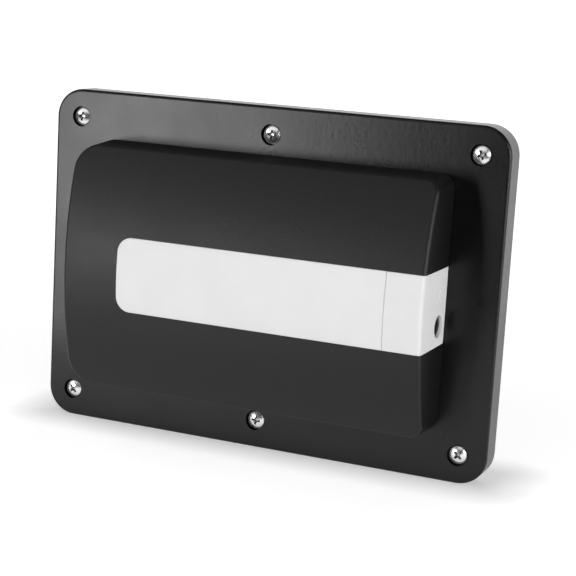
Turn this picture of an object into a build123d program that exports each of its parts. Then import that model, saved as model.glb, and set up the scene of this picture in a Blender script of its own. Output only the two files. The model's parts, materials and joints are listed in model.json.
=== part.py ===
from build123d import *
import math
import os

# Garage door controller with a wall flange, a crowned body, a white lens strip and a white end cap.
# X runs along the width, Z is up and the front faces -Y.
# The origin is the middle of the back, where the unit lies against the wall. All sizes are in mm.

# Outline of the flange
width = 200.0
height = 142.0
rim_depth = 12.0
corner_radius = 12.0
flange_edge_round = 1.2
rim_back_round = 0.8
wall = 2.4

# Raised body with a front that is crowned about X
body_left_margin = 18.9
body_right_margin = 21.5
body_top_margin = 19.8
body_rise = 28.5
crown_radius = 120.0
side_draft = 2.5
left_end_draft = 7.4
left_corner_radius = 10.5
right_corner_radius = 5.5
body_edge_round = 1.4

# Clearances
fit_gap = 0.1
seat_gap = 0.3
running_gap = 0.08
plate_gap = 0.25

# White strip: a long lens and an end cap that wraps over the end of the body
strip_height = 30.6
strip_length = 131.0
strip_corner_radius = 6.0
end_cap_length = 15.5
seam_gap = 0.15
lip_width = 2.0
lip_thickness = 1.2

# Cover screws in counterbored holes
screw_inset_x = 12.0
screw_inset_z = 11.5
screw_shank_radius = 1.95
screw_head_radius = 3.6
screw_head_rim = 1.0
screw_head_dome = 0.95
screw_length = 8.0
counterbore_radius = 4.35
counterbore_depth = 2.2
cover_boss_radius = 6.0
cover_boss_length = 3.2
recess_width = 1.0
recess_span = 3.9
recess_core_radius = 1.1
recess_depth = 1.4
recess_taper = 12.0
screw_turns = (79.0, 82.0, 20.0, 40.0, 83.0, 47.0)

# Rear plate
plate_thickness = 2.4
plate_boss_radius = 4.5
pilot_floor = 0.8
wall_screw_radius = 2.3
wall_screw_inset_x = 16.0
wall_screw_spacing_z = 64.0
wall_screw_seat_radius = 5.0
wall_screw_seat_rise = 1.6

# Wiring recess in the rear plate and its way out through the lower rim
wiring_x = -26.0
wiring_width = 16.0
wiring_top_inset_z = 40.0
wiring_window_height = 16.0
channel_width = 12.0
channel_depth = 5.0
channel_wall = 1.6

# Main board
board_thickness = 1.6
board_edge_gap = 5.0
board_left_inset = 13.5
board_corner_radius = 2.0
board_stand_height = 9.2
board_screw_inset = 5.0
board_screw_radius = 1.25
board_screw_head_radius = 2.6
board_screw_head_height = 1.8
board_screw_length = 6.0
board_stand_radius = 3.5

# Power inlet
inlet_hole_radius = 4.5
inlet_height_z = -7.3
inlet_above_board = 6.6
inlet_wall = 1.2
jack_length = 16.0
jack_width = 9.0
jack_rise = 11.0
jack_bore_radius = 3.15
jack_bore_depth = 9.5
jack_pin_radius = 1.0
jack_pin_length = 8.5

# Push button and its switch
button_height_z = 4.6
button_above_board = 5.6
button_radius = 2.8
button_flange_radius = 3.6
button_flange_thickness = 1.0
button_proud = 0.2
button_travel = 0.6
switch_length = 5.0
switch_width = 6.0
switch_rise = 8.0
switch_plunger_radius = 1.5
switch_plunger_reach = 1.9
switch_plunger_inside = 2.0

# Light board behind the lens
light_board_length = 96.0
light_board_height = 16.0
light_board_thickness = 1.2
light_board_end_gap = 12.0
light_gap = 5.0
light_count = 6
light_size = 3.5
light_rise = 1.6
spacer_radius = 2.5
spacer_inset = 5.0

# Sounder and the slots that let its sound out through the lower wall
sounder_radius = 12.0
sounder_rise = 10.0
sounder_port_radius = 2.0
sounder_port_depth = 3.0
sounder_inset_x = 26.0
sounder_inset_z = 18.0
sound_slot_count = 5
sound_slot_pitch = 5.0
sound_slot_width = 2.0
sound_slot_length = 9.0

# Relay and terminal block for the two wires to the door opener
relay_length = 19.0
relay_width = 15.5
relay_rise = 12.0
relay_inset_x = 18.0
relay_inset_z = 14.0
terminal_pitch = 5.08
terminal_ways = 2
terminal_width = 8.2
terminal_rise = 9.0
terminal_screw_radius = 1.7
terminal_screw_length = 3.0
terminal_slot_width = 0.6
terminal_slot_depth = 0.7
terminal_entry_radius = 1.5
terminal_entry_depth = 5.0
terminal_entry_rise = 3.0

# Small parts on the main board
part_gap = 2.0
chip_size = 10.0
chip_rise = 1.4
chip_leads = 8
chip_lead_pitch = 0.8
chip_lead_width = 0.35
chip_lead_reach = 1.2
chip_lead_thickness = 0.25
crystal_length = 11.0
crystal_width = 4.6
crystal_rise = 3.5
radio_length = 26.0
radio_width = 18.0
radio_thickness = 1.0
shield_length = 15.0
shield_width = 14.0
shield_rise = 2.4
antenna_radius = 0.5
antenna_rise = 8.0
antenna_length = 42.0
antenna_bend_radius = 2.5
receiver_length = 30.0
receiver_width = 12.0
receiver_can_length = 12.0
receiver_can_rise = 2.6
capacitor_radius = 4.0
capacitor_rise = 11.5
capacitor_pitch = 10.0
inductor_size = 12.0
inductor_rise = 6.0
regulator_length = 6.5
regulator_width = 6.0
regulator_rise = 2.3
fuse_radius = 4.5
fuse_thickness = 2.8
header_pins = 4
header_pitch = 2.54
header_width = 2.5
header_base_rise = 8.5
header_pin_size = 0.64
passive_length = 2.0
passive_width = 1.25
passive_rise = 0.8
passive_pitch = 4.0
passive_columns = 8
passive_rows = 2

# Places that follow from the sizes above
half_width = width / 2
half_height = height / 2
body_foot_x = body_left_margin - half_width
body_end_x = half_width - body_right_margin
body_half_height = half_height - body_top_margin
crown_depth = rim_depth + body_rise
crown_axis_y = crown_radius - crown_depth
strip_left_x = body_end_x - strip_length
seam_x = body_end_x - end_cap_length
lens_thickness = wall + fit_gap + lip_thickness
cap_inner_x = body_end_x - lens_thickness
screw_x = half_width - screw_inset_x
screw_z = half_height - screw_inset_z
screw_points = [(column * screw_x, row * screw_z) for row in (1, -1) for column in (-1, 0, 1)]
head_seat_depth = rim_depth - counterbore_depth
boss_meet_depth = rim_depth - wall - cover_boss_length
board_back_depth = plate_thickness + board_stand_height
board_front_depth = board_back_depth + board_thickness
board_left_x = body_foot_x + board_left_inset
board_right_x = cap_inner_x - 2 * seat_gap
board_half_height = body_half_height - wall - board_edge_gap
board_length = board_right_x - board_left_x
board_centre_x = (board_left_x + board_right_x) / 2
board_screw_points = [
    (x, z)
    for x in (board_left_x + board_screw_inset, board_right_x - board_screw_inset)
    for z in (board_half_height - board_screw_inset, board_screw_inset - board_half_height)
]
inlet_depth = board_front_depth + inlet_above_board
button_depth = board_front_depth + button_above_board
light_board_right_x = seam_x - light_board_end_gap
light_board_centre_x = light_board_right_x - light_board_length / 2
light_board_front_depth = crown_depth - lens_thickness - light_gap - light_rise
light_board_back_depth = light_board_front_depth - light_board_thickness
spacer_points = [
    (light_board_centre_x + side * (light_board_length / 2 - spacer_inset), 0.0) for side in (-1, 1)
]


def front(depth):
    """Plane parallel to the wall, a depth in front of it, with Z up and its normal to the front."""
    return Plane.XZ.offset(depth)


def flange_outline(inset):
    """Rounded rectangle of the flange, moved in by an inset."""
    with BuildSketch() as outline:
        RectangleRounded(width - 2 * inset, height - 2 * inset, corner_radius - inset)
    return outline.sketch


def body_form(inset, edge_round=0.0):
    """Raised body as a closed form, moved in by an inset, from inside the flange up to its crown."""
    low_depth = rim_depth - wall
    high_depth = rim_depth + 2 * body_rise
    half = body_half_height - inset
    left = body_foot_x + inset
    right = body_end_x - inset
    side_slope = math.tan(math.radians(side_draft))
    end_slope = math.tan(math.radians(left_end_draft))
    with BuildPart() as form:
        with BuildSketch(Plane.YZ.offset(-half_width)):
            with BuildLine():
                Polyline(
                    (-low_depth, -half - wall * side_slope),
                    (-high_depth, -half + 2 * body_rise * side_slope),
                    (-high_depth, half - 2 * body_rise * side_slope),
                    (-low_depth, half + wall * side_slope),
                    close=True,
                )
            make_face()
            with Locations((crown_axis_y, 0)):
                Circle(crown_radius - inset, mode=Mode.INTERSECT)
        extrude(amount=width)
        with BuildSketch(Plane.XY.offset(-half_height)):
            with BuildLine():
                Polyline(
                    (left - wall * end_slope, -low_depth),
                    (left + 2 * body_rise * end_slope, -high_depth),
                    (right, -high_depth),
                    (right, -low_depth),
                    close=True,
                )
            make_face()
        extrude(amount=height, mode=Mode.INTERSECT)
        for end, radius in ((0, left_corner_radius), (-1, right_corner_radius)):
            end_edges = form.faces().sort_by(Axis.X)[end].edges().sort_by(Axis.Z)
            fillet([end_edges[0], end_edges[-1]], radius - inset)
        if edge_round > 0:
            fillet(form.faces().sort_by(Axis.Y)[0].edges(), edge_round)
    return form.part


outer_form = body_form(0.0, body_edge_round)
inner_form = body_form(wall)


def strip_prism(grow, left, right, corner, low_depth):
    """Prism that cuts the strip's outline out of a form, running to the front."""
    with BuildPart() as prism:
        with BuildSketch(front(low_depth)) as outline:
            with Locations(((left + right) / 2, 0)):
                Rectangle(right - left, strip_height + 2 * grow)
            if corner > 0:
                fillet(outline.vertices().group_by(Axis.X)[0], corner)
        extrude(amount=2 * body_rise)
    return prism.part


def post(radius, low_depth, high_depth, points):
    """Round posts that stand on the wall's side, one solid for each point."""
    with BuildPart() as posts:
        with BuildSketch(front(low_depth)):
            with Locations(*points):
                Circle(radius)
        extrude(amount=high_depth - low_depth)
    return posts.part


def slab(centre_x, centre_z, size_x, size_z, low_depth, rise):
    """Flat block that lies parallel to the wall."""
    with BuildPart() as block:
        with BuildSketch(front(low_depth)):
            with Locations((centre_x, centre_z)):
                Rectangle(size_x, size_z)
        extrude(amount=rise)
    return block.part


# Front housing: rim, flange and raised body in one moulding
sounder_x = board_left_x + sounder_inset_x
sounder_z = sounder_inset_z - board_half_height
with BuildPart() as front_housing:
    with BuildSketch(front(0)):
        add(flange_outline(0))
    extrude(amount=rim_depth)
    fillet(front_housing.faces().sort_by(Axis.Y)[0].edges(), flange_edge_round)
    fillet(front_housing.faces().sort_by(Axis.Y)[-1].edges(), rim_back_round)
    with BuildSketch(front(0)):
        add(flange_outline(wall))
    extrude(amount=rim_depth - wall, mode=Mode.SUBTRACT)
    add(outer_form)
    add(inner_form, mode=Mode.SUBTRACT)
    add(post(cover_boss_radius, boss_meet_depth, rim_depth - wall, screw_points))
    for x, z in screw_points:
        with Locations(front(rim_depth).location * Location((x, z, 0))):
            CounterBoreHole(screw_shank_radius + seat_gap, counterbore_radius, counterbore_depth)
    # Opening for the strip, which runs out over the end wall
    add(
        strip_prism(fit_gap, strip_left_x - fit_gap, half_width, strip_corner_radius + fit_gap, rim_depth),
        mode=Mode.SUBTRACT,
    )
    # Slots in the lower wall over the sounder
    with BuildSketch(Plane.XY.offset(-half_height)):
        middle_depth = board_front_depth + sounder_rise / 2
        with Locations((sounder_x, -middle_depth)):
            with GridLocations(sound_slot_pitch, 0, sound_slot_count, 1):
                SlotOverall(sound_slot_length, sound_slot_width, rotation=90)
    extrude(amount=half_height - board_half_height, mode=Mode.SUBTRACT)
    # Notch where the wires leave through the lower rim
    with Locations((wiring_x, -channel_depth / 2, -half_height)):
        Box(channel_width, channel_depth, 4 * wall, mode=Mode.SUBTRACT)


# Lens: the long white part of the strip, let into the body from inside
def strip_shell(outer_inset, inner_inset):
    """Layer of the body's form between two insets."""
    with BuildPart() as shell:
        add(outer_form if outer_inset == 0 else body_form(outer_inset))
        add(body_form(inner_inset), mode=Mode.SUBTRACT)
    return shell.part


full_layer = strip_shell(0.0, lens_thickness)
lip_layer = strip_shell(wall + fit_gap, lens_thickness)
lens_right_x = seam_x - seam_gap / 2
cap_left_x = seam_x + seam_gap / 2
cap_low_depth = rim_depth + fit_gap

with BuildPart() as lens_lip:
    add(lip_layer)
    add(
        strip_prism(lip_width, strip_left_x - lip_width, lens_right_x, strip_corner_radius, rim_depth),
        mode=Mode.INTERSECT,
    )
with BuildPart() as strip_lens:
    add(full_layer)
    add(
        strip_prism(0, strip_left_x, lens_right_x, strip_corner_radius, rim_depth),
        mode=Mode.INTERSECT,
    )
    add(lens_lip.part)

with BuildPart() as cap_lip:
    add(lip_layer)
    add(strip_prism(lip_width, cap_left_x, half_width, 0, cap_low_depth), mode=Mode.INTERSECT)
with BuildPart() as end_cap:
    add(full_layer)
    add(strip_prism(0, cap_left_x, half_width, 0, cap_low_depth), mode=Mode.INTERSECT)
    add(cap_lip.part)
    with BuildSketch(Plane.YZ.offset(cap_inner_x)):
        with Locations((-inlet_depth, inlet_height_z)):
            Circle(inlet_hole_radius)
        with Locations((-button_depth, button_height_z)):
            Circle(button_radius + running_gap)
    extrude(amount=2 * lens_thickness, mode=Mode.SUBTRACT)
    # Pocket that lets the power jack up to a thinner wall
    pocket_end_x = body_end_x - inlet_wall
    pocket_depth = board_front_depth - seat_gap
    with Locations((pocket_end_x - lens_thickness, -pocket_depth, inlet_height_z)):
        Box(
            2 * lens_thickness,
            jack_rise + 2 * seat_gap,
            jack_width + 2 * seat_gap,
            align=(Align.CENTER, Align.MAX, Align.CENTER),
            mode=Mode.SUBTRACT,
        )

# Cover screws: pan heads with a cross recess
screw_head_top = screw_head_rim + screw_head_dome
screw_dome_radius = (screw_head_radius**2 + screw_head_dome**2) / (2 * screw_head_dome)
with BuildPart() as one_screw:
    with BuildSketch(Plane.XZ):
        with BuildLine():
            Polyline(
                (0, screw_head_top),
                (0, -screw_length),
                (screw_shank_radius, -screw_length),
                (screw_shank_radius, 0),
                (screw_head_radius, 0),
                (screw_head_radius, screw_head_rim),
            )
            RadiusArc((screw_head_radius, screw_head_rim), (0, screw_head_top), -screw_dome_radius)
        make_face()
    revolve(axis=Axis.Z)
    for turn in (0, 90):
        with BuildSketch(Plane.XY.offset(screw_head_top)):
            Rectangle(recess_span, recess_width, rotation=turn)
            Circle(recess_core_radius)
        extrude(amount=-recess_depth, taper=recess_taper, mode=Mode.SUBTRACT)
with BuildPart() as cover_screws:
    for turn, (x, z) in zip(screw_turns, screw_points):
        with Locations(front(head_seat_depth).location * Location((x, z, 0), (0, 0, turn))):
            add(one_screw.part)

# Rear plate: closes the back, carries the board and holds the wiring recess
plate_low_z = wall + plate_gap - half_height
wiring_top_z = wiring_top_inset_z - half_height
wiring_reach = wiring_top_z + channel_wall - plate_low_z
wiring_centre_z = plate_low_z + wiring_reach / 2
wiring_rise = channel_depth + channel_wall
window_low_z = wiring_top_z - wiring_window_height
window_centre_z = wiring_top_z - wiring_window_height / 2
with BuildPart() as rear_plate:
    with BuildSketch(front(0)):
        add(flange_outline(wall + plate_gap))
    extrude(amount=plate_thickness)
    add(post(plate_boss_radius, 0, boss_meet_depth, screw_points))
    add(post(board_stand_radius, 0, board_back_depth, board_screw_points))
    with BuildSketch(front(0)):
        with GridLocations(width - 2 * wall_screw_inset_x, wall_screw_spacing_z, 2, 2):
            Circle(wall_screw_seat_radius)
    extrude(amount=plate_thickness + wall_screw_seat_rise)
    add(slab(wiring_x, wiring_centre_z, wiring_width + 2 * channel_wall, wiring_reach, 0, wiring_rise))
    with BuildSketch(front(0)):
        with GridLocations(width - 2 * wall_screw_inset_x, wall_screw_spacing_z, 2, 2):
            Circle(wall_screw_radius)
    extrude(amount=rim_depth, mode=Mode.SUBTRACT)
    add(
        post(screw_shank_radius + running_gap, pilot_floor, rim_depth, screw_points),
        mode=Mode.SUBTRACT,
    )
    add(
        post(board_screw_radius + running_gap, plate_thickness, rim_depth, board_screw_points),
        mode=Mode.SUBTRACT,
    )
    # The window behind the terminal block, and the channel from it down to the rim
    add(
        slab(wiring_x, window_centre_z, wiring_width, wiring_window_height, 0, rim_depth),
        mode=Mode.SUBTRACT,
    )
    add(
        slab(wiring_x, window_low_z - wiring_reach / 2, channel_width, wiring_reach + wall, 0, channel_depth),
        mode=Mode.SUBTRACT,
    )

# Main board on the rear plate's stands
with BuildPart() as main_board:
    with BuildSketch(front(board_back_depth)):
        with Locations((board_centre_x, 0)):
            RectangleRounded(board_length, 2 * board_half_height, board_corner_radius)
        with Locations(*board_screw_points):
            Circle(board_screw_radius + seat_gap, mode=Mode.SUBTRACT)
    extrude(amount=board_thickness)

with BuildPart() as board_screws:
    shank_end_depth = board_front_depth - board_screw_length
    add(post(board_screw_radius, shank_end_depth, board_front_depth, board_screw_points))
    with BuildSketch(front(board_front_depth)):
        with Locations(*board_screw_points):
            Circle(board_screw_head_radius)
    extrude(amount=board_screw_head_height, taper=recess_taper)
    with BuildSketch(front(board_front_depth + board_screw_head_height)):
        with Locations(*board_screw_points):
            Rectangle(board_screw_head_radius, board_screw_radius / 2)
            Rectangle(board_screw_radius / 2, board_screw_head_radius)
    extrude(amount=-board_screw_head_height / 2, mode=Mode.SUBTRACT)

# Power inlet: a barrel jack behind the hole in the end cap
jack_front_x = pocket_end_x - fit_gap
with BuildPart() as power_jack:
    jack_x = jack_front_x - jack_length / 2
    add(slab(jack_x, inlet_height_z, jack_length, jack_width, board_front_depth, jack_rise))
    fillet(power_jack.edges().filter_by(Axis.X).group_by(Axis.Y)[0], 1.0)
    with BuildSketch(Plane.YZ.offset(jack_front_x)):
        with Locations((-inlet_depth, inlet_height_z)):
            Circle(jack_bore_radius)
    extrude(amount=-jack_bore_depth, mode=Mode.SUBTRACT)
with BuildPart() as power_jack_pin:
    with BuildSketch(Plane.YZ.offset(jack_front_x - jack_bore_depth)):
        with Locations((-inlet_depth, inlet_height_z)):
            Circle(jack_pin_radius)
    extrude(amount=jack_pin_length)
    fillet(power_jack_pin.edges().group_by(Axis.X)[-1], jack_pin_radius / 2)

# Push button in the end cap, with the switch that it presses
button_stop_x = cap_inner_x - seat_gap
button_back_x = button_stop_x - button_flange_thickness
switch_front_x = button_back_x - switch_plunger_reach
with BuildPart() as connect_button:
    with BuildSketch(Plane.YZ.offset(button_back_x)):
        with Locations((-button_depth, button_height_z)):
            Circle(button_flange_radius)
    extrude(amount=button_flange_thickness)
    with BuildSketch(Plane.YZ.offset(button_back_x)):
        with Locations((-button_depth, button_height_z)):
            Circle(button_radius)
    extrude(amount=body_end_x + button_proud - button_back_x)
    fillet(connect_button.edges().group_by(Axis.X)[-1], button_radius / 8)
with BuildPart() as switch_plunger:
    with BuildSketch(Plane.YZ.offset(switch_front_x - switch_plunger_inside)):
        with Locations((-button_depth, button_height_z)):
            Circle(switch_plunger_radius)
    extrude(amount=switch_plunger_inside + switch_plunger_reach)
with BuildPart() as button_switch:
    switch_x = switch_front_x - switch_length / 2
    add(slab(switch_x, button_height_z, switch_length, switch_width, board_front_depth, switch_rise))
    with BuildSketch(Plane.YZ.offset(switch_front_x)):
        with Locations((-button_depth, button_height_z)):
            Circle(switch_plunger_radius + running_gap)
    extrude(amount=-(switch_plunger_inside + 2 * button_travel), mode=Mode.SUBTRACT)

# Light board on two spacers behind the lens
with BuildPart() as light_board:
    with BuildSketch(front(light_board_back_depth)):
        with Locations((light_board_centre_x, 0)):
            RectangleRounded(light_board_length, light_board_height, board_corner_radius)
        with Locations(*spacer_points):
            Circle(board_screw_radius + seat_gap, mode=Mode.SUBTRACT)
    extrude(amount=light_board_thickness)
with BuildPart() as light_spacers:
    with BuildSketch(front(board_front_depth)):
        with Locations(*spacer_points):
            RegularPolygon(spacer_radius, 6)
    extrude(amount=light_board_back_depth - board_front_depth)
    add(
        post(
            board_screw_radius + running_gap,
            light_board_back_depth - board_screw_length,
            light_board_back_depth,
            spacer_points,
        ),
        mode=Mode.SUBTRACT,
    )
with BuildPart() as light_board_screws:
    add(
        post(
            board_screw_radius,
            light_board_front_depth - board_screw_length,
            light_board_front_depth,
            spacer_points,
        )
    )
    add(
        post(
            board_screw_head_radius,
            light_board_front_depth,
            light_board_front_depth + board_screw_head_height,
            spacer_points,
        )
    )
light_span = light_board_length - 4 * spacer_inset
with BuildPart() as strobe_lights:
    with BuildSketch(front(light_board_front_depth)):
        with Locations((light_board_centre_x, 0)):
            with GridLocations(light_span / (light_count - 1), 0, light_count, 1):
                RectangleRounded(light_size, light_size, light_size / 8)
    extrude(amount=light_rise)

# Sounder that faces the slots
with BuildPart() as sounder:
    with BuildSketch(front(board_front_depth)):
        with Locations((sounder_x, sounder_z)):
            Circle(sounder_radius)
    extrude(amount=sounder_rise)
    fillet(sounder.edges().group_by(Axis.Y)[0], board_corner_radius / 2)
    add(
        post(
            sounder_port_radius,
            board_front_depth + sounder_rise - sounder_port_depth,
            board_front_depth + sounder_rise,
            [(sounder_x, sounder_z)],
        ),
        mode=Mode.SUBTRACT,
    )
with BuildPart() as sounder_disc:
    add(
        post(
            sounder_port_radius,
            board_front_depth + sounder_rise - sounder_port_depth,
            board_front_depth + sounder_rise - 2 * sounder_port_depth / 3,
            [(sounder_x, sounder_z)],
        )
    )

# Relay that closes the door opener's circuit
relay_x = board_left_x + relay_inset_x
relay_z = board_half_height - relay_inset_z
with BuildPart() as relay:
    add(slab(relay_x, relay_z, relay_length, relay_width, board_front_depth, relay_rise))
    fillet(relay.edges().group_by(Axis.Y)[0], board_corner_radius / 4)

# Terminal block on the board's back, in the plate's window
terminal_length = terminal_pitch * terminal_ways
terminal_z = wiring_top_z - fit_gap - terminal_width / 2
terminal_depth = board_back_depth - terminal_rise
terminal_points = [
    (wiring_x + (way - (terminal_ways - 1) / 2) * terminal_pitch, terminal_z)
    for way in range(terminal_ways)
]
with BuildPart() as terminal_block:
    add(slab(wiring_x, terminal_z, terminal_length, terminal_width, terminal_depth, terminal_rise))
    add(
        post(
            terminal_screw_radius + running_gap,
            terminal_depth,
            terminal_depth + terminal_screw_length + seat_gap,
            terminal_points,
        ),
        mode=Mode.SUBTRACT,
    )
    with BuildSketch(Plane.XY.offset(terminal_z - terminal_width / 2)):
        for x, z in terminal_points:
            with Locations((x, -(board_back_depth - terminal_entry_rise))):
                Circle(terminal_entry_radius)
    extrude(amount=terminal_entry_depth, mode=Mode.SUBTRACT)
with BuildPart() as terminal_screws:
    add(
        post(
            terminal_screw_radius,
            terminal_depth + seat_gap,
            terminal_depth + terminal_screw_length + seat_gap,
            terminal_points,
        )
    )
    with BuildSketch(front(terminal_depth + seat_gap)):
        with Locations(*terminal_points):
            Rectangle(2 * terminal_screw_radius, terminal_slot_width)
    extrude(amount=terminal_slot_depth, mode=Mode.SUBTRACT)

# Controller chip with leads on four sides
chip_x = board_centre_x
chip_z = sounder_z
with BuildPart() as control_chip:
    add(slab(chip_x, chip_z, chip_size, chip_size, board_front_depth, chip_rise))
    with BuildSketch(front(board_front_depth)):
        with Locations((chip_x, chip_z)):
            with GridLocations(chip_lead_pitch, 0, chip_leads, 1):
                Rectangle(chip_lead_width, chip_size + 2 * chip_lead_reach)
            with GridLocations(0, chip_lead_pitch, 1, chip_leads):
                Rectangle(chip_size + 2 * chip_lead_reach, chip_lead_width)
    extrude(amount=chip_lead_thickness)
with BuildPart() as crystal:
    crystal_z = chip_z + chip_size / 2 + chip_lead_reach + part_gap + crystal_width / 2
    add(slab(chip_x, crystal_z, crystal_length, crystal_width, board_front_depth, crystal_rise))
    fillet(crystal.edges().filter_by(Axis.Y), crystal_width / 2.2)

# Radio module with its shield and wire antenna
radio_x = relay_x + relay_length / 2 + 3 * part_gap + radio_length / 2
radio_z = relay_z
shield_depth = board_front_depth + radio_thickness
with BuildPart() as radio_board:
    add(slab(radio_x, radio_z, radio_length, radio_width, board_front_depth, radio_thickness))
with BuildPart() as radio_shield:
    add(slab(radio_x - radio_length / 6, radio_z, shield_length, shield_width, shield_depth, shield_rise))
    fillet(radio_shield.edges().group_by(Axis.Y)[0], shield_rise / 6)


def wire_antenna(start_x, z, foot_depth, reach):
    """Bent wire that stands up from a board and then runs along X."""
    knee = (start_x, -(foot_depth + antenna_rise), z)
    with BuildPart() as wire:
        with BuildLine() as path:
            FilletPolyline(
                (start_x, -foot_depth, z),
                knee,
                (start_x + reach, knee[1], z),
                radius=antenna_bend_radius,
            )
        with BuildSketch(path.line ^ 0):
            Circle(antenna_radius)
        sweep()
    return wire.part


radio_wire_x = radio_x + radio_length / 2 - radio_thickness
radio_antenna = wire_antenna(radio_wire_x, radio_z, shield_depth, antenna_length / 2)

# Receiver for the door's own sensor
receiver_x = board_right_x - 3 * board_screw_inset - receiver_length / 2
with BuildPart() as receiver_board:
    add(slab(receiver_x, chip_z, receiver_length, receiver_width, board_front_depth, radio_thickness))
with BuildPart() as receiver_can:
    can_x = receiver_x - receiver_length / 5
    can_width = receiver_width - radio_thickness
    add(slab(can_x, chip_z, receiver_can_length, can_width, shield_depth, receiver_can_rise))
    fillet(receiver_can.edges().group_by(Axis.Y)[0], receiver_can_rise / 6)
receiver_wire_x = receiver_x + receiver_length / 2 - radio_thickness
receiver_antenna = wire_antenna(receiver_wire_x, chip_z, shield_depth, -antenna_length)

# Power parts beside the inlet: regulator, inductor and capacitors in a row up from the spacer
power_x = board_right_x - 2 * board_screw_inset - 2 * capacitor_radius
inductor_x = power_x - capacitor_pitch / 2
regulator_z = spacer_radius + part_gap + regulator_width / 2
inductor_z = regulator_z + regulator_width / 2 + part_gap + inductor_size / 2
capacitor_z = inductor_z + inductor_size / 2 + part_gap + capacitor_radius
with BuildPart() as smoothing_capacitors:
    capacitor_points = [(power_x - turn * capacitor_pitch, capacitor_z) for turn in (0, 1)]
    add(post(capacitor_radius, board_front_depth, board_front_depth + capacitor_rise, capacitor_points))
    fillet(smoothing_capacitors.edges().group_by(Axis.Y)[0], capacitor_radius / 8)
with BuildPart() as power_inductor:
    add(slab(inductor_x, inductor_z, inductor_size, inductor_size, board_front_depth, inductor_rise))
    fillet(power_inductor.edges().filter_by(Axis.Y), inductor_size / 6)
with BuildPart() as voltage_regulator:
    add(slab(inductor_x, regulator_z, regulator_length, regulator_width, board_front_depth, regulator_rise))
with BuildPart() as input_fuse:
    fuse_back_x = jack_front_x - jack_length - part_gap - fuse_thickness
    with BuildSketch(Plane.YZ.offset(fuse_back_x)):
        with Locations((-(board_front_depth + fuse_radius), inlet_height_z)):
            Circle(fuse_radius)
    extrude(amount=fuse_thickness)

# Pin header that joins the two boards
header_x = spacer_points[0][0] + 3 * spacer_inset
with BuildPart() as board_header:
    add(slab(header_x, 0, header_pins * header_pitch, header_width, board_front_depth, header_base_rise))
with BuildPart() as header_contacts:
    with BuildSketch(front(board_front_depth + header_base_rise)):
        with Locations((header_x, 0)):
            with GridLocations(header_pitch, 0, header_pins, 1):
                Rectangle(header_pin_size, header_pin_size)
    extrude(amount=light_board_back_depth - board_front_depth - header_base_rise)

# Small resistors and capacitors in rows
with BuildPart() as chip_parts:
    with BuildSketch(front(board_front_depth)):
        with Locations((relay_x + passive_columns * passive_pitch, 0)):
            with GridLocations(passive_pitch, 4 * passive_pitch, passive_columns, passive_rows):
                Rectangle(passive_length, passive_width)
    extrude(amount=passive_rise)

pieces = {
    "front_housing": front_housing.part,
    "strip_lens": strip_lens.part,
    "end_cap": end_cap.part,
    "connect_button": connect_button.part,
    "switch_plunger": switch_plunger.part,
    "button_switch": button_switch.part,
    "cover_screws": cover_screws.part,
    "rear_plate": rear_plate.part,
    "main_board": main_board.part,
    "board_screws": board_screws.part,
    "power_jack": power_jack.part,
    "power_jack_pin": power_jack_pin.part,
    "light_board": light_board.part,
    "light_spacers": light_spacers.part,
    "light_board_screws": light_board_screws.part,
    "strobe_lights": strobe_lights.part,
    "sounder": sounder.part,
    "sounder_disc": sounder_disc.part,
    "relay": relay.part,
    "terminal_block": terminal_block.part,
    "terminal_screws": terminal_screws.part,
    "control_chip": control_chip.part,
    "crystal": crystal.part,
    "radio_board": radio_board.part,
    "radio_shield": radio_shield.part,
    "radio_antenna": radio_antenna,
    "receiver_board": receiver_board.part,
    "receiver_can": receiver_can.part,
    "receiver_antenna": receiver_antenna,
    "smoothing_capacitors": smoothing_capacitors.part,
    "power_inductor": power_inductor.part,
    "voltage_regulator": voltage_regulator.part,
    "input_fuse": input_fuse.part,
    "board_header": board_header.part,
    "header_contacts": header_contacts.part,
    "chip_parts": chip_parts.part,
}
os.makedirs("parts", exist_ok=True)
for label, piece in pieces.items():
    piece.label = label
    export_step(piece, f"parts/{label}.step")
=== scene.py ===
import json
import math

import bpy
from mathutils import Matrix, Vector


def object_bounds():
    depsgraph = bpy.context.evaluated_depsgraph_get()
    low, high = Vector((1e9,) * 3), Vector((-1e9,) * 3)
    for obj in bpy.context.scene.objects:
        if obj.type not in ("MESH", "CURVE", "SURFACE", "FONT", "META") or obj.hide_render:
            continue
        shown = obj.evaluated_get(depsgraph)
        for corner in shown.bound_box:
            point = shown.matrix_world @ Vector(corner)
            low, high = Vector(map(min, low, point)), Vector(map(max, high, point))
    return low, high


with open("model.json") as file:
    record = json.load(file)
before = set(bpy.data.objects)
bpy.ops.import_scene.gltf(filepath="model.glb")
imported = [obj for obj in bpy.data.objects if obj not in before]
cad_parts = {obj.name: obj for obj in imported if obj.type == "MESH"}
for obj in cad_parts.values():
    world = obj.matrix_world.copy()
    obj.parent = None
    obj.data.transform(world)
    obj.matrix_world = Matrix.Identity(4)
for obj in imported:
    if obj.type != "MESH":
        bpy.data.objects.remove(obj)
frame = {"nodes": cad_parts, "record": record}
cad_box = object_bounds()
scene = bpy.context.scene

# Camera: lens and sensor in millimetres, angles in degrees, places in metres
LENS = 99.01
SENSOR = 36.0
AZIMUTH = 23.049
ELEVATION = 10.729
ROLL = 3.323
DISTANCE = 0.648155
AIM_DEPTH = 0.012
SLIDE_RIGHT = 0.010267
SLIDE_DOWN = 0.003254
CLIP_START = 0.01
CLIP_END = 20

# Moulded plastic: patches of slow change, and the second grain under the fine one
PATCH_SIZE = 0.018
UNDER_SIZE = 4.5
UNDER_DEPTH = 1.5

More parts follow.
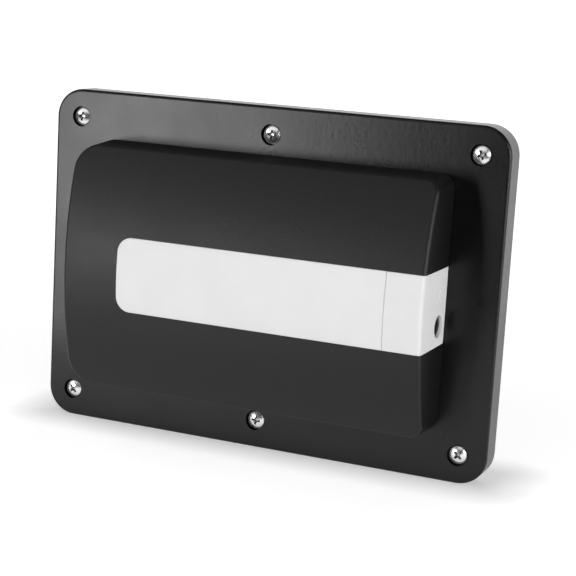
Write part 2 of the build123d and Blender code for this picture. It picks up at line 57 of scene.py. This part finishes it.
# Black housing: the flange's depth, where its finish turns into the body's, and both finishes
RIM_DEPTH = 0.012
FINISH_STEP = 0.0008
FLANGE_ROUGH = 0.285
BODY_ROUGH = 0.45
WALL_ROUGH = 0.75
WALL_START = 0.5
WALL_FULL = 0.9
SHELL_PATCH_SIZE = 0.02
SHELL_ROUGH_DRIFT = 0.02
SHELL_IOR = 1.40
FINE_SIZE = 0.0005
FINE_DEPTH = 0.00004
FLANGE_GRAIN = 0.4
COARSE_SIZE = 0.0016
COARSE_DEPTH = 0.00003
COARSE_MOTTLE = 0.2

# Plated metal: spots of dull plating
SPOT_SIZE = 6
SPOT_SHADE = 0.86

# Screw heads: painted shade, dark and dull, in the cross and under the rim: how far occlusion is
# looked for, and where the plating counts as unshaded
RECESS_SHADE_REACH = 0.0013
RECESS_SHADE_SAMPLES = 8
RECESS_SHADE_END = 0.55
UNSHADED_START = 0.85
# Painted shade: the dark colour and the higher roughness of the heads in the cross and under the
# rim
RECESS_SHADE_COLOUR = (0.05, 0.05, 0.052)
RECESS_SHADE_ROUGH = 0.6
HEAD_ROUGH = 0.22
HEAD_ROUGH_DRIFT = 0.06
HEAD_GRAIN_SIZE = 0.0004
HEAD_GRAIN_DEPTH = 0.000004

# Circuit boards: copper tracks under the mask, and the weave of the board
TRACK_SCALE = 260.0
TRACK_WIDTH = 0.12
TRACK_BLUR = 0.2
TRACK_DEPTH = 0.00003
TRACK_GAIN = 1.5
TRACK_LIFT = 0.01
WEAVE_SIZE = 0.0006
WEAVE_DEPTH = 0.00001
MASK_ROUGH = (0.22, 0.36)

# Stage: the floor's front edge steps back at the left, where the flange would show it
FLOOR_DROP = 0.0002
BACKDROP_DEPTH = 1.6
STAGE_HALF_WIDTH = 3.0
STAGE_FRONT = 0.28
STAGE_FRONT_LEFT = 0.197
FRONT_STEP = (-0.12, -0.08)
STAGE_TOP = 2.4

# White paper: its glow grows with the distance from the flange, in two steps, as a painted shadow
# close to the flange and a wider painted shade further out
SHADOW_EDGE_GLOW = 0.34
SHADOW_END_GLOW = 0.67
PAINTED_SHADOW_REACH = 0.022
FAR_GLOW = 0.33
FAR_START = 0.15
FAR_END = 0.7
FIBRE_SIZE = 0.004
PAPER_DARK = (0.80, 0.80, 0.80)
PAPER_LIGHT = (0.84, 0.84, 0.84)

# Lamps: name, azimuth, elevation, width, height, radiance. The values started from fits to the
# photograph's brightness and were then changed render by render.
LAMPS = (
    ("key", -31, -2.5, 0.36, 0.42, 11.2),
    ("key_above", -52, 14, 0.66, 0.30, 2.6),
    ("overhead", -23, 36, 1.60, 0.50, 1.0),
    ("right_front", 38, 8, 0.40, 0.40, 5.6),
    ("right_above", 55, 24, 0.50, 0.40, 1.0),
    ("right_low", 66, 8, 0.40, 0.50, 7.8),
    ("right", 85, 8, 0.60, 0.50, 2.2),
    ("top", 0, 75, 1.00, 0.50, 0.4),
    ("left_rear", -110, 34, 0.50, 0.50, 1.5),
    ("rear", 180, 45, 0.90, 0.50, 1.2),
)
LAMP_DISTANCE = 1.2

# World: a dark room, with a white table below the heights from start to full
ROOM_GREY = 0.02
TABLE_WHITE = 0.85
TABLE_START = -0.40
TABLE_FULL = -0.48


def direction(azimuth, elevation):
    """Unit vector from the part towards an azimuth and elevation in degrees."""
    az, el = math.radians(azimuth), math.radians(elevation)
    return Vector((math.sin(az) * math.cos(el), -math.cos(az) * math.cos(el), math.sin(el)))


def make_camera():
    """Camera at the photograph's angle, with no shift."""
    roll = math.radians(ROLL)
    back = direction(AZIMUTH, ELEVATION)
    right = (-back).cross(Vector((0, 0, 1))).normalized()
    up = right.cross(-back)
    cam_right = math.cos(roll) * right + math.sin(roll) * up
    cam_up = math.cos(roll) * up - math.sin(roll) * right
    place = back * DISTANCE + Vector((0, -AIM_DEPTH, 0))
    place = place + cam_right * SLIDE_RIGHT - cam_up * SLIDE_DOWN
    data = bpy.data.cameras.new("camera")
    data.lens = LENS
    data.sensor_width = SENSOR
    data.sensor_fit = "HORIZONTAL"
    data.clip_start = CLIP_START
    data.clip_end = CLIP_END
    camera = bpy.data.objects.new("camera", data)
    turn = Matrix((cam_right, cam_up, back)).transposed()
    camera.matrix_world = Matrix.Translation(place) @ turn.to_4x4()
    scene.collection.objects.link(camera)
    scene.camera = camera


class Graph:
    """A material's node tree, with short calls to add and join nodes."""

    def __init__(self, name):
        self.material = bpy.data.materials.new(name)
        self.material.use_nodes = True
        self.tree = self.material.node_tree
        self.tree.nodes.clear()
        self.output = self.tree.nodes.new("ShaderNodeOutputMaterial")

    def add(self, kind, inputs=None, **settings):
        """A node with its settings, and inputs that are values or other nodes' outputs."""
        node = self.tree.nodes.new(kind)
        for key, value in settings.items():
            setattr(node, key, value)
        for key, value in (inputs or {}).items():
            self.put(node.inputs[key], value)
        return node

    def put(self, socket, value):
        """Sets a socket, or links another node's output to it."""
        if isinstance(value, bpy.types.NodeSocket):
            self.tree.links.new(value, socket)
        else:
            socket.default_value = value

    def sum(self, operation, *values):
        """Result of a sum on one or two values."""
        node = self.add("ShaderNodeMath", dict(enumerate(values)), operation=operation)
        return node.outputs[0]

    def vector_sum(self, operation, *values):
        """Result of a sum on one or two vectors."""
        node = self.add("ShaderNodeVectorMath", dict(enumerate(values)), operation=operation)
        return node.outputs["Value" if operation == "LENGTH" else 0]

    def noise(self, size, detail=2.0, roughness=0.5):
        """Noise with features of a size in metres, in the part's own frame."""
        place = self.add("ShaderNodeTexCoord").outputs["Object"]
        inputs = {"Vector": place, "Scale": 1 / size, "Detail": detail, "Roughness": roughness}
        return self.add("ShaderNodeTexNoise", inputs).outputs["Fac"]

    def spread(self, value, low, high, start=0.3, end=0.7):
        """A value between start and end, moved to the range from low to high."""
        inputs = {"Value": value, "From Min": start, "From Max": end, "To Min": low, "To Max": high}
        return self.add("ShaderNodeMapRange", inputs).outputs["Result"]

    def tint(self, factor, first, second):
        """A colour between two others."""
        node = self.add("ShaderNodeMix", data_type="RGBA")
        self.put(node.inputs[0], factor)
        self.put(node.inputs[6], (*first, 1))
        self.put(node.inputs[7], (*second, 1))
        return node.outputs[2]

    def bump(self, height, depth, under=None):
        """A bump of a depth in metres, on top of another normal if one is given."""
        inputs = {"Height": height, "Distance": depth, "Strength": 1.0}
        if under is not None:
            inputs["Normal"] = under
        return self.add("ShaderNodeBump", inputs).outputs["Normal"]

    def surface(self, inputs):
        """The finished material, with these inputs on its shader."""
        shader = self.add("ShaderNodeBsdfPrincipled", inputs)
        self.tree.links.new(shader.outputs["BSDF"], self.output.inputs["Surface"])
        return self.material


def shade(colour, factor):
    """A colour made darker or lighter by a factor."""
    return tuple(c * factor for c in colour)


def moulded(name, colour, rough, grain, depth, wander=0.03, mottle=0.015, **extra):
    """Moulded plastic with an eroded grain, and slow changes of colour and gloss."""
    g = Graph(name)
    fine = g.noise(grain, 3.0, 0.6)
    slow = g.noise(PATCH_SIZE)
    under = g.bump(g.noise(grain * UNDER_SIZE), depth * UNDER_DEPTH)
    normal = g.bump(fine, depth, under)
    darker, lighter = shade(colour, 1 - mottle), shade(colour, 1 + mottle)
    return g.surface({
        "Base Color": g.tint(g.spread(slow, 0, 1), darker, lighter),
        "Roughness": g.spread(slow, rough - wander, rough + wander),
        "Normal": normal,
        **extra,
    })


def shell(name, colour):
    """Black housing: satin flange, and a raised body with more grain and matt level walls."""
    g = Graph(name)
    coord = g.add("ShaderNodeTexCoord")
    depth = g.add("ShaderNodeSeparateXYZ", {"Vector": coord.outputs["Object"]}).outputs["Y"]
    raised = g.spread(depth, 1, 0, -RIM_DEPTH - FINISH_STEP, -RIM_DEPTH)
    upright = g.add("ShaderNodeSeparateXYZ", {"Vector": coord.outputs["Normal"]}).outputs["Z"]
    level = g.sum("ABSOLUTE", upright)
    extra = g.spread(level, 0, WALL_ROUGH - BODY_ROUGH, WALL_START, WALL_FULL)
    wall = g.sum("MULTIPLY", raised, extra)
    fine = g.noise(FINE_SIZE, 3.0, 0.6)
    coarse = g.noise(COARSE_SIZE)
    slow = g.noise(SHELL_PATCH_SIZE)
    height = g.sum("MULTIPLY", fine, g.sum("ADD", raised, FLANGE_GRAIN))
    rough = g.spread(raised, FLANGE_ROUGH, BODY_ROUGH, 0, 1)
    drift = g.sum("ADD", wall, g.spread(slow, -SHELL_ROUGH_DRIFT, SHELL_ROUGH_DRIFT))
    darker, lighter = shade(colour, 1 - COARSE_MOTTLE), shade(colour, 1 + COARSE_MOTTLE)
    return g.surface({
        "Base Color": g.tint(g.spread(coarse, 0, 1), darker, lighter),
        "Roughness": g.sum("ADD", rough, drift),
        "IOR": SHELL_IOR,
        "Normal": g.bump(height, FINE_DEPTH, g.bump(coarse, COARSE_DEPTH)),
    })


def metal(name, colour, rough, grain, depth, wander=0.08):
    """Plated metal with fine tool marks and small spots of dull plating."""
    g = Graph(name)
    fine = g.noise(grain, 4.0, 0.65)
    spots = g.noise(grain * SPOT_SIZE, 3.0)
    return g.surface({
        "Base Color": g.tint(g.spread(spots, 0, 1), shade(colour, SPOT_SHADE), colour),
        "Roughness": g.spread(spots, rough + wander, rough - wander),
        "Metallic": 1.0,
        "Normal": g.bump(fine, depth),
    })


def head(name, colour):
    """Bright plated screws, with painted shade, dark and dull, deep in the cross and under the rim.
    """
    g = Graph(name)
    fine = g.noise(HEAD_GRAIN_SIZE, 3.0)
    # Ambient occlusion paints shade: where nearby surfaces close in, the colour turns dark, matt
    # and unmetallic.
    reach = {"Distance": RECESS_SHADE_REACH}
    open_sky = g.add("ShaderNodeAmbientOcclusion", reach, samples=RECESS_SHADE_SAMPLES).outputs["AO"]
    unshaded = g.spread(open_sky, 0, 1, RECESS_SHADE_END, UNSHADED_START)
    rough = g.spread(unshaded, RECESS_SHADE_ROUGH, HEAD_ROUGH, 0, 1)
    return g.surface({
        "Base Color": g.tint(unshaded, RECESS_SHADE_COLOUR, colour),
        "Metallic": unshaded,
        "Roughness": g.sum("ADD", rough, g.spread(fine, 0, HEAD_ROUGH_DRIFT)),
        "Normal": g.bump(fine, HEAD_GRAIN_DEPTH),
    })


def board(name, colour):
    """Circuit board: glossy mask over faint copper tracks."""
    g = Graph(name)
    place = g.add("ShaderNodeTexCoord").outputs["Object"]
    tracks = g.add("ShaderNodeTexBrick", {
        "Vector": place, "Scale": TRACK_SCALE,
        "Mortar Size": TRACK_WIDTH, "Mortar Smooth": TRACK_BLUR,
        "Color1": (0, 0, 0, 1), "Color2": (0, 0, 0, 1), "Mortar": (1, 1, 1, 1),
    }).outputs["Fac"]
    weave = g.noise(WEAVE_SIZE)
    over_track = tuple(min(1.0, c * TRACK_GAIN + TRACK_LIFT) for c in colour)
    return g.surface({
        "Base Color": g.tint(tracks, colour, over_track),
        "Roughness": g.spread(weave, *MASK_ROUGH),
        "Normal": g.bump(tracks, TRACK_DEPTH, g.bump(weave, WEAVE_DEPTH)),
    })


# White plastic that lets a little light in
MILKY = {
    "IOR": 1.4,
    "Subsurface Weight": 0.4,
    "Subsurface Scale": 0.6,
    "Subsurface Radius": (0.002, 0.002, 0.002),
}

# Arguments after the colour: roughness, size of the grain and depth of the grain in metres
MATERIALS = {
    "black_shell": shell("black_shell", (0.0018, 0.0018, 0.0019)),
    "black_plate": moulded("black_plate", (0.018, 0.018, 0.019), 0.50, 0.0006, 0.00003),
    "white_lens": moulded("white_lens", (0.82, 0.825, 0.82), 0.58, 0.0011, 0.000004, **MILKY),
    "white_cap": moulded("white_cap", (0.81, 0.815, 0.81), 0.60, 0.0011, 0.000004, **MILKY),
    "white_button": moulded("white_button", (0.80, 0.805, 0.80), 0.58, 0.0011, 0.000004, IOR=1.4),
    "screw_steel": head("screw_steel", (0.84, 0.84, 0.84)),
    "small_steel": metal("small_steel", (0.62, 0.62, 0.63), 0.32, 0.0003, 0.00001),
    "contact_brass": metal("contact_brass", (0.74, 0.56, 0.27), 0.28, 0.0004, 0.00001),
    "can_steel": metal("can_steel", (0.66, 0.66, 0.65), 0.34, 0.0006, 0.00001),
    "dark_plastic": moulded("dark_plastic", (0.012, 0.012, 0.012), 0.45, 0.0004, 0.00002),
    "chip_black": moulded("chip_black", (0.02, 0.02, 0.021), 0.55, 0.0003, 0.00002),
    "chip_brown": moulded("chip_brown", (0.16, 0.11, 0.07), 0.5, 0.0004, 0.00002),
    "relay_blue": moulded("relay_blue", (0.02, 0.10, 0.32), 0.35, 0.0008, 0.00001),
    "terminal_green": moulded("terminal_green", (0.03, 0.22, 0.09), 0.4, 0.0007, 0.00002),
    "light_yellow": moulded("light_yellow", (0.85, 0.72, 0.25), 0.3, 0.0004, 0.00001),
    "capacitor_sleeve": moulded("capacitor_sleeve", (0.03, 0.04, 0.09), 0.28, 0.0012, 0.00001),
    "fuse_yellow": moulded("fuse_yellow", (0.55, 0.36, 0.04), 0.4, 0.0005, 0.00003),
    "board_green": board("board_green", (0.012, 0.12, 0.05)),
    "board_blue": board("board_blue", (0.012, 0.05, 0.16)),
    "board_white": board("board_white", (0.62, 0.62, 0.60)),
}


def dress_nodes():
    """Gives every CAD node the material that the record's slot names."""
    for part in frame["record"]["subparts"]:
        node = frame["nodes"][part["node"]]
        material = MATERIALS[part["material_slot"]]
        if not node.material_slots:
            node.data.materials.append(material)
        for slot in node.material_slots:
            slot.material = material


def paper(name):
    """White paper. The camera and reflections see its glow, which is weaker near the flange as a
    painted shadow, and its matt part keeps the real shadows.
    """
    g = Graph(name)
    path = g.add("ShaderNodeLightPath").outputs
    seen = g.sum("MAXIMUM", path["Is Camera Ray"], path["Is Glossy Ray"])
    seen = g.sum("MAXIMUM", seen, path["Is Transmission Ray"])
    place = g.add("ShaderNodeTexCoord").outputs["Object"]
    flange_half = (cad_box[1][0], RIM_DEPTH, -cad_box[0][2])
    far = g.vector_sum("ABSOLUTE", place)
    far = g.vector_sum("SUBTRACT", far, flange_half)
    far = g.vector_sum("MAXIMUM", far, (0, 0, 0))
    far = g.vector_sum("LENGTH", far)
    # Painted shadow: the glow is lowest at the flange and rises over the reach; a wider painted
    # shade rises further out.
    painted_shadow = g.spread(far, SHADOW_EDGE_GLOW, SHADOW_END_GLOW, 0, PAINTED_SHADOW_REACH)
    wide_painted_shade = g.spread(far, 0, FAR_GLOW, FAR_START, FAR_END)
    strength = g.sum("MULTIPLY", seen, g.sum("ADD", painted_shadow, wide_painted_shade))
    colour = g.tint(g.noise(FIBRE_SIZE, 3.0), PAPER_DARK, PAPER_LIGHT)
    matt = g.add("ShaderNodeBsdfDiffuse", {"Color": colour})
    light = g.add("ShaderNodeEmission", {"Color": (1, 1, 1, 1), "Strength": strength})
    both = g.add("ShaderNodeAddShader", {0: matt.outputs[0], 1: light.outputs[0]})
    g.put(g.output.inputs["Surface"], both.outputs[0])
    return g.material


def sheet_mesh(name, corners, material):
    """One flat face of the stage."""
    mesh = bpy.data.meshes.new(name)
    mesh.from_pydata(corners, [], [tuple(range(len(corners)))])
    mesh.materials.append(material)
    obj = bpy.data.objects.new(name, mesh)
    scene.collection.objects.link(obj)


def make_stage():
    """White floor under the part and a white backdrop behind it."""
    low = cad_box[0][2] - FLOOR_DROP
    left, right, rear = -STAGE_HALF_WIDTH, STAGE_HALF_WIDTH, BACKDROP_DEPTH
    outline = [
        (left, -STAGE_FRONT_LEFT), (FRONT_STEP[0], -STAGE_FRONT_LEFT),
        (FRONT_STEP[1], -STAGE_FRONT), (right, -STAGE_FRONT),
        (right, rear), (left, rear),
    ]
    white = paper("white_paper")
    sheet_mesh("floor", [(x, y, low) for x, y in outline], white)
    sheet_mesh("backdrop", [
        (left, rear, low), (right, rear, low), (right, rear, STAGE_TOP), (left, rear, STAGE_TOP),
    ], white)


def softbox(name, azimuth, elevation, width, height, radiance):
    """Rectangular lamp that faces the part, with a radiance."""
    data = bpy.data.lights.new(name, "AREA")
    data.shape = "RECTANGLE"
    data.size = width
    data.size_y = height
    data.energy = radiance * math.pi * width * height
    away = direction(azimuth, elevation)
    lamp = bpy.data.objects.new(name, data)
    lamp.location = away * LAMP_DISTANCE
    lamp.rotation_euler = away.to_track_quat("Z", "Y").to_euler()
    scene.collection.objects.link(lamp)


def make_lights():
    """The lamps, and a world that is dark above and white far below the part."""
    for lamp in LAMPS:
        softbox(*lamp)
    world = bpy.data.worlds.new("room")
    world.use_nodes = True
    tree = world.node_tree
    coord = tree.nodes.new("ShaderNodeTexCoord")
    split = tree.nodes.new("ShaderNodeSeparateXYZ")
    band = tree.nodes.new("ShaderNodeMapRange")
    band.inputs["From Min"].default_value = TABLE_START
    band.inputs["From Max"].default_value = TABLE_FULL
    band.inputs["To Min"].default_value = ROOM_GREY
    band.inputs["To Max"].default_value = TABLE_WHITE
    tree.links.new(coord.outputs["Generated"], split.inputs["Vector"])
    tree.links.new(split.outputs["Z"], band.inputs["Value"])
    tree.links.new(band.outputs["Result"], tree.nodes["Background"].inputs["Color"])
    scene.world = world


make_camera()
dress_nodes()
make_stage()
make_lights()
scene.view_settings.view_transform = "Standard"
